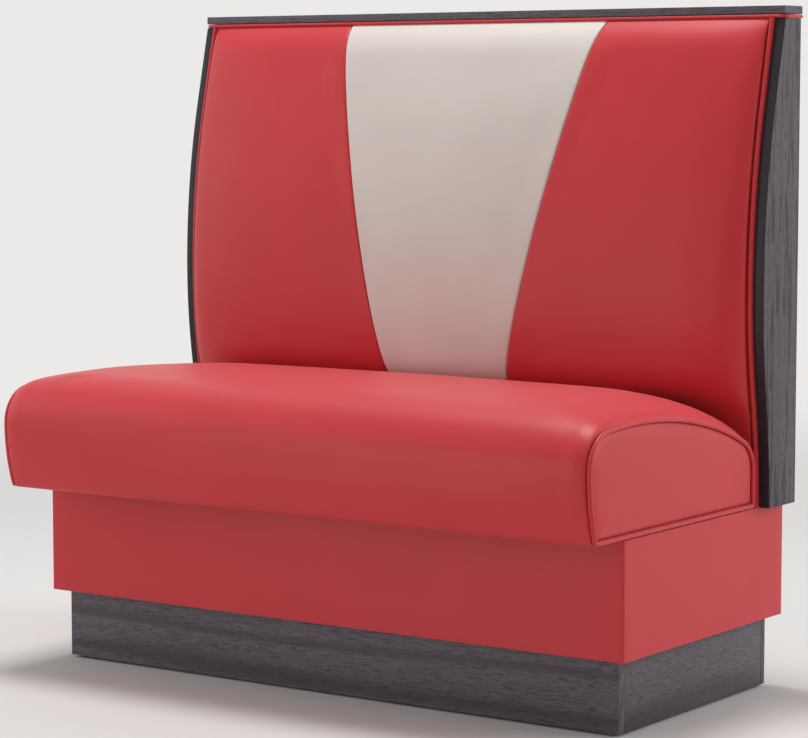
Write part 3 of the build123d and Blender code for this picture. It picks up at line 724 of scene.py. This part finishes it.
sideLow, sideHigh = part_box("back_side_right")
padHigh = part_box("back_cover_right")[1]
footZ = sideLow.z
topZ = sideHigh.z
sideRear = sideHigh.y
back = {
    # the side panel's front edge, from its rear and its foot
    "footReach": 86.6 * mm,
    "bellyReach": 113.2 * mm,
    "bellyRise": 339 * mm,
    "leanRise": 289 * mm,
    "lean": 12.85,  # degrees
    # the padding in front of that edge
    "edgeReach": 8 * mm,
    "leastReach": 0.5 * mm,
    "crown": 38 * mm,
    "rollWidth": 160 * mm,  # how far in from a side the crown is full
    "rollPower": 2.6,
    "rollRoot": 0.5,
    "panelBow": 5.5 * mm,
    "thickness": 6 * mm,
    # the two slanting seams, from the middle
    "seamFoot": 76.4 * mm,
    "seamTop": 252 * mm,
    "seamDrop": 3.2 * mm,
    "seamRound": 4.5 * mm,
    # columns and rows of the mesh: runs near the seams and edges in mm, and the step between
    "seamColumns": [0, 0.8, 1.8, 3.2, 5, 8],
    "edgeColumns": [0, 0.7, 1.8, 3.4, 5.6, 8.6, 12.5, 17.5, 24],
    "footRows": [0, 1.5, 4, 8, 13],
    "topRows": [0, 1, 2.3, 4.2, 6.6, 9.6, 13.4, 18, 24],
    "columnStep": 13 * mm,
    "rowStep": 13 * mm,
    "levels": 601,  # of the softened tables, with how many levels their softening spreads
    "crownSoftening": 8,
    "reachSoftening": 5,
    # the most it swells, and over which distances from each edge the cloth comes free
    "swell": 5 * mm,
    "freeRear": (-6 * mm, -2 * mm),  # past the side panel's front edge
    "freeSeam": (5 * mm, 50 * mm),
    "freeSide": (12 * mm, 60 * mm),
    "freeTop": (20 * mm, 70 * mm),
    "freeFoot": (0.47, 0.54),  # heights, just above the seat
}
# Height share, share of the crown, share of the edge's reach
padTable = np.array([
    (0, 0.06, 1), (0.142, 0.08, 1), (0.192, 0.13, 1), (0.208, 0.42, 1), (0.224, 0.66, 1),
    (0.24, 0.84, 1), (0.261, 0.97, 1), (0.31, 1, 1), (0.354, 1, 1), (0.486, 0.88, 1), (0.725, 0.7, 1),
    (0.883, 0.64, 1), (0.945, 0.5, 1), (0.972, 0.32, 0.9), (0.99, 0.12, 0.6), (1, 0.02, 0.15),
])
levels = np.linspace(0, 1, back["levels"])


def softTable(column, spread):
    values = np.interp(levels, padTable[:, 0], padTable[:, column])
    reach, weights = bellWeights(spread, 1)
    return np.convolve(np.pad(values, reach, mode="reflect", reflect_type="odd"), weights, mode="valid")


crownTable = softTable(1, back["crownSoftening"])
reachTable = softTable(2, back["reachSoftening"])
leanAngle = radians(back["lean"])
leanRadius = back["leanRise"] / sin(leanAngle)
halfBelly = (back["bellyReach"] - back["footReach"]) / 2
bellyRadius = ((back["bellyRise"] / 2) ** 2 + halfBelly ** 2) / (2 * halfBelly)


def edgeAt(z):
    # The side panel's front edge: two arcs out to the belly, one that leans back, and a straight end
    rise = z - footZ
    if rise < back["bellyRise"] / 2:
        return sideRear - back["footReach"] - bellyRadius + sqrt(bellyRadius ** 2 - rise ** 2)
    if rise < back["bellyRise"]:
        rest = back["bellyRise"] - rise
        return sideRear - back["bellyReach"] + bellyRadius - sqrt(bellyRadius ** 2 - rest ** 2)
    rise -= back["bellyRise"]
    if rise < back["leanRise"]:
        return sideRear - back["bellyReach"] + leanRadius - sqrt(leanRadius ** 2 - rise ** 2)
    start = sideRear - back["bellyReach"] + leanRadius * (1 - cos(leanAngle))
    return start + (rise - back["leanRise"]) * tan(leanAngle)


def seamAt(z):
    return back["seamFoot"] + (back["seamTop"] - back["seamFoot"]) * (z - footZ) / (topZ - footZ)


def padFront(x, z):
    level = (z - footZ) / (topZ - footZ)
    crown = np.interp(level, levels, crownTable)
    reach = np.interp(level, levels, reachTable)
    run = max(padHigh.x - abs(x), 0)
    share = min(run / back["rollWidth"], 1)
    rise = (1 - (1 - share) ** back["rollPower"]) ** back["rollRoot"]
    seam = seamAt(z)
    bow = max(1 - (x / seam) ** 2, 0) * back["panelBow"]
    depth = back["edgeReach"] * reach + crown * (back["crown"] * rise + bow)
    tuck = 1 - min(abs(abs(x) - seam) / back["seamRound"], 1)
    depth -= back["seamDrop"] * (1 - sqrt(1 - tuck * tuck))
    return edgeAt(z) - max(depth, back["leastReach"])


def graded(start, end, firstSteps, lastSteps, step):
    # Places from start to end with fine steps at both ends
    first = [start + value * mm for value in firstSteps]
    last = [end - value * mm for value in reversed(lastSteps)]
    count = max(int(round((last[0] - first[-1]) / step)), 1)
    inner = list(np.linspace(first[-1], last[0], count + 1)[1:-1])
    return first + inner + last


rowPlaces = graded(footZ, topZ, back["footRows"], back["topRows"], back["rowStep"])


def padPiece(name, columnsAt):
    # columnsAt(z) gives the places across, low x first
    front, rear = [], []
    for z in rowPlaces:
        places = columnsAt(z)
        depths = [padFront(x, z) for x in places]
        flat = edgeAt(z) + back["thickness"]
        meet = [(depths[0] + flat) / 2, (depths[-1] + flat) / 2]
        places = [places[0]] + places + [places[-1]]
        for shell, inner in ((front, depths), (rear, [flat] * len(depths))):
            shell.append([(x, y, z) for x, y in zip(places, [meet[0]] + inner + [meet[1]])])
    rows = front + rear[::-1] + front[:1]
    return gridPiece(name, np.array(rows).transpose(1, 0, 2), closeEnds=False)


def stretched(width, run, firstSteps, lastSteps):
    # Places across the panel where it is widest, moved to a row so wide with their end steps kept
    fine = firstSteps[-1] * mm
    edge = lastSteps[-1] * mm
    places = []
    for value in graded(0, width, firstSteps, lastSteps, back["columnStep"]):
        if value <= fine + tiny:
            places.append(value)
        elif value >= width - edge - tiny:
            places.append(run - (width - value))
        else:
            places.append(fine + (value - fine) * (run - edge - fine) / (width - edge - fine))
    return places


def wingColumns(z):
    places = stretched(padHigh.x - seamAt(footZ), padHigh.x - seamAt(z), back["seamColumns"],
                       back["edgeColumns"])
    return [seamAt(z) + place for place in places]


def middleColumns(z):
    places = stretched(2 * seamAt(topZ), 2 * seamAt(z), back["seamColumns"], back["seamColumns"])
    return [place - seamAt(z) for place in places]


def padFree(x, y, z):
    front = 1 - rampUp(y, *(edgeAt(z) + run for run in back["freeRear"]))
    seam = rampUp(abs(abs(x) - seamAt(z)), *back["freeSeam"])
    edge = rampUp(padHigh.x - abs(x), *back["freeSide"])
    return front * seam * edge * (rampUp(topZ - z, *back["freeTop"]) * rampUp(z, *back["freeFoot"]))


panels = (
    ("backWingRight", wingColumns, redVinyl, "red_vinyl", ("back_cover_right",)),
    ("backWingLeft", lambda z: [-x for x in reversed(wingColumns(z))], redVinyl, "red_vinyl",
     ("back_cover_left",)),
    ("backPanelMiddle", middleColumns, creamVinyl, "cream_vinyl", ("back_cover_center", "back_foam")),
)
for name, columnsAt, material, slot, replaced in panels:
    panel = padPiece(name, columnsAt)
    plump(panel, padFree, back["swell"])
    applyModifier(panel, "SUBSURF", **smoothing)
    finishPiece(panel, "bench", material, replaced)
print("back panels made")

# Welts down the sides of the back and under the cap

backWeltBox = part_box("back_welt_right")
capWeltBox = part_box("cap_welt")
welts = {
    "backCord": 3.3 * mm,
    "backReach": 4.6 * mm,
    "backFlange": 6.2 * mm,
    "backRows": 110,
    "cordTurn": -1.2 * pi,  # how far round the cord shows, from its outer side
    "cordSteps": 15,
    "capShare": 0.86,  # of the CAD cord's thickness, as the cap presses on it
    "capSides": 14,
    "capCorner": 14 * mm,
    "capSteps": (6, 8, 60),  # along a side, round a corner, and from the corner to the middle
    "angle": 50,
}
cord = welts["backCord"]
reach = welts["backReach"]
flange = welts["backFlange"]
# A round cord with its sewn flange behind, which fills the line between the panel's side and the board
turns = np.linspace(0, welts["cordTurn"], welts["cordSteps"])
cordSection = [(cord * cos(turn), cord * sin(turn)) for turn in turns]
cordSection += [(-flange, reach), (-flange, 2 * reach), (cord, 2 * reach)]
heights = np.linspace(footZ, topZ, welts["backRows"])
for side, word in sides:
    place = backWeltBox[1].x - cord
    path = np.array([(side * place, edgeAt(z) - reach, z) for z in heights])
    section = [(side * a, b) for a, b in cordSection]
    backWelt = tube("backWelt" + word, path, np.array([1.0, 0, 0]), section, False)
    finishPiece(backWelt, "bench", redVinyl, ("back_welt_" + word.lower(),),
                angle=welts["angle"])

capRadius = welts["capShare"] * (capWeltBox[1].z - capWeltBox[0].z) / 2
halfX = capWeltBox[1].x - capRadius
frontY = capWeltBox[0].y + capRadius
rearY = capWeltBox[1].y
levelZ = capWeltBox[0].z + capRadius
corner = welts["capCorner"]
sideSteps, cornerSteps, frontSteps = welts["capSteps"]
line = [(halfX, y) for y in np.linspace(rearY, frontY + corner, sideSteps)]
turns = [pi / 2 * step / cornerSteps for step in range(1, cornerSteps + 1)]
line += [(halfX - corner * (1 - cos(turn)), frontY + corner * (1 - sin(turn))) for turn in turns]
line += [(x, frontY) for x in np.linspace(halfX - corner, 0, frontSteps)[1:]]
line += [(-x, y) for x, y in reversed(line[:-1])]
path = np.array([(x, y, levelZ) for x, y in line])
capWelt = tube("capWelt", path, np.array([0, 0, 1.0]), ringSection(capRadius, welts["capSides"]), False)
finishPiece(capWelt, "bench", redVinyl, ("cap_welt",), angle=welts["angle"])
print("welts made")

# Base: vinyl pulled round a plywood box

wrap = {
    "thickness": 3.5 * mm,
    "corner": 4.5 * mm,
    "cornerSegments": 5,
    "cuts": 24,  # through each face, both ways
    "angle": 40,
}


def boxPiece(name, low, high):
    clearSelection()
    bpy.ops.mesh.primitive_cube_add(size=1, location=(0, 0, 0))
    piece = bpy.context.object
    piece.name = name
    for vertex in piece.data.vertices:
        vertex.co = [high[axis] if vertex.co[axis] > 0 else low[axis] for axis in range(3)]
    return piece


def upright(edge):
    low, high = [baseWrap.data.vertices[index].co.z for index in edge.vertices]
    return abs(high - low) > mm


baseWrap = boxPiece("baseWrap", *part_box("base_cover"))
selectWhere(baseWrap, "FACE", lambda face: abs(face.normal.z) > 0.5)  # its top and bottom, to take off
bpy.ops.mesh.delete(type="FACE")
selectWhere(baseWrap, "EDGE", upright)
bpy.ops.mesh.bevel(offset=wrap["corner"], segments=wrap["cornerSegments"], affect="EDGES")
editAll(baseWrap, "EDGE")
bpy.ops.mesh.subdivide(number_cuts=wrap["cuts"])
bpy.ops.object.mode_set(mode="OBJECT")
applyModifier(baseWrap, "SOLIDIFY", thickness=wrap["thickness"], offset=-1)
finishPiece(baseWrap, "bench", redVinyl, ("base_cover",), angle=wrap["angle"])
print("base made")

# Stained oak boards

boards = {
    "ease": 1.1 * mm,  # rounding along the edges
    "sideEase": 1.6 * mm,
    "segments": 3,
    "sideRows": 90,
    "sharp": 50,  # degrees from which a side panel's edge is eased
    "edgeFront": -0.72,  # faces that look this far forward, and less far sideways, have the edge veneer
    "edgeSide": 0.5,
    "angle": 40,
}
grains = {
    "plinth_front": oakAlongX,
    "plinth_rear": oakAlongX,
    "plinth_left": oakAlongY,
    "plinth_right": oakAlongY,
    "cap_rail": oakAlongX,
    "back_rear_panel": oakVeneer,
}
for node, material in grains.items():
    words = node.split("_")
    boardPiece = boxPiece(words[0] + "".join(word.title() for word in words[1:]), *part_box(node))
    editAll(boardPiece, "EDGE")
    bpy.ops.mesh.bevel(offset=boards["ease"], segments=boards["segments"], affect="EDGES")
    bpy.ops.object.mode_set(mode="OBJECT")
    finishPiece(boardPiece, "bench", material, (node,), angle=boards["angle"])

heights = np.linspace(footZ, topZ, boards["sideRows"])
profile = [(edgeAt(z), z) for z in heights] + [(sideRear, z) for z in heights[::-1]]
for side, word in sides:
    low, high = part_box("back_side_" + word.lower())
    inner, outer = (low.x, high.x) if side > 0 else (high.x, low.x)
    rings = [[(x, y, z) for y, z in profile + profile[:1]] for x in (inner, outer)]
    sidePanel = gridPiece("sidePanel" + word, np.array(rings))
    applyModifier(sidePanel, "BEVEL", width=boards["sideEase"], segments=boards["segments"],
                  limit_method="ANGLE", angle_limit=radians(boards["sharp"]))
    sidePanel.data.materials.append(oakFigured[word])
    sidePanel.data.materials.append(darkEdge)
    for face in sidePanel.data.polygons:
        forward = face.normal.y < boards["edgeFront"] and abs(face.normal.x) < boards["edgeSide"]
        face.material_index = int(forward)
    finishPiece(sidePanel, "bench", oakFigured[word], ("back_side_" + word.lower(),),
                angle=boards["angle"])
print("boards made")

# Floor, backdrop and soft light

stage = {
    "floor": "#dcdbd9",
    "floorSize": 60,
    "floorRough": 0.85,
    "floorGloss": 0.2,
    "backdrop": "#eceae8",
    "fade": (1.2, 4.5),  # metres from the bench
    "sky": "#ffffff",
    "skyLight": 0.4,
    "lamps": [  # name, place, aim, size, watts
        ("overhead", (-0.3, 0.3, 4.2), (-0.1, -0.1, 0.4), 1.2, 104),
        ("left", (-3.2, -1.6, 1.7), (0, 0, 0.6), 2.2, 20),
        ("front", (-1.7, -4.5, 0.9), (0, 0, 0.4), 1.6, 14),
        ("low", (-0.9, -2.3, 0.4), (0, -0.2, 0.3), 0.75, 4.5),
        ("rearRight", (3.4, 1.8, 1.6), (0.3, 0, 0.5), 2.0, 58),
    ],
}


def seenRays(tree):
    # 1 for what is seen directly, in a reflection or through glass
    rays = addNode(tree, "ShaderNodeLightPath").outputs
    direct = addNode(tree, "ShaderNodeMath", {0: rays["Is Camera Ray"], 1: rays["Is Glossy Ray"]},
                     operation="MAXIMUM").outputs["Value"]
    return addNode(tree, "ShaderNodeMath", {0: direct, 1: rays["Is Transmission Ray"]},
                   operation="MAXIMUM").outputs["Value"]


clearSelection()
bpy.ops.mesh.primitive_plane_add(size=stage["floorSize"], location=(0, 0, 0))
floor = bpy.context.object
floor.name = "floor"
# Matt pale floor that turns into the backdrop's own tone further off, so that no horizon shows
floorMaterial, tree, shader, spot = newMaterial("paleFloor")
shader.inputs["Base Color"].default_value = linear(stage["floor"])
shader.inputs["Roughness"].default_value = stage["floorRough"]
shader.inputs["Specular IOR Level"].default_value = stage["floorGloss"]
away = addNode(tree, "ShaderNodeVectorMath", {0: spot}, operation="LENGTH").outputs["Value"]
fade = addNode(tree, "ShaderNodeMapRange", {
    "Value": away, "From Min": stage["fade"][0], "From Max": stage["fade"][1]},
    interpolation_type="SMOOTHSTEP")
plain = addNode(tree, "ShaderNodeEmission", {"Color": linear(stage["backdrop"]), "Strength": 1.0})
share = addNode(tree, "ShaderNodeMath", {0: fade.outputs["Result"], 1: seenRays(tree)},
                operation="MULTIPLY")
blend = addNode(tree, "ShaderNodeMixShader", {
    0: share.outputs["Value"], 1: shader.outputs[0], 2: plain.outputs[0]})
tree.links.new(blend.outputs[0], tree.nodes["Material Output"].inputs["Surface"])
floor.data.materials.append(floorMaterial)

world = bpy.data.worlds.new("studio")
scene.world = world
world.use_nodes = True
tree = world.node_tree
background = tree.nodes["Background"]
background.inputs["Color"].default_value = linear(stage["sky"])
background.inputs["Strength"].default_value = stage["skyLight"]
bright = addNode(tree, "ShaderNodeBackground", {"Color": linear(stage["backdrop"]), "Strength": 1.0})
mixed = addNode(tree, "ShaderNodeMixShader", {
    0: seenRays(tree), 1: background.outputs[0], 2: bright.outputs[0]})
tree.links.new(mixed.outputs[0], tree.nodes["World Output"].inputs["Surface"])

for name, place, aim, size, watts in stage["lamps"]:
    lamp = bpy.data.lights.new(name, "AREA")
    lamp.shape = "SQUARE"
    lamp.size = size
    lamp.energy = watts
    holder = bpy.data.objects.new(name, lamp)
    holder.location = place
    x, y, z = np.array(aim) - np.array(place)
    holder.rotation_euler = (atan2(sqrt(x ** 2 + y ** 2), -z), 0, atan2(y, x) - pi / 2)
    scene.collection.objects.link(holder)
print("stage lit")
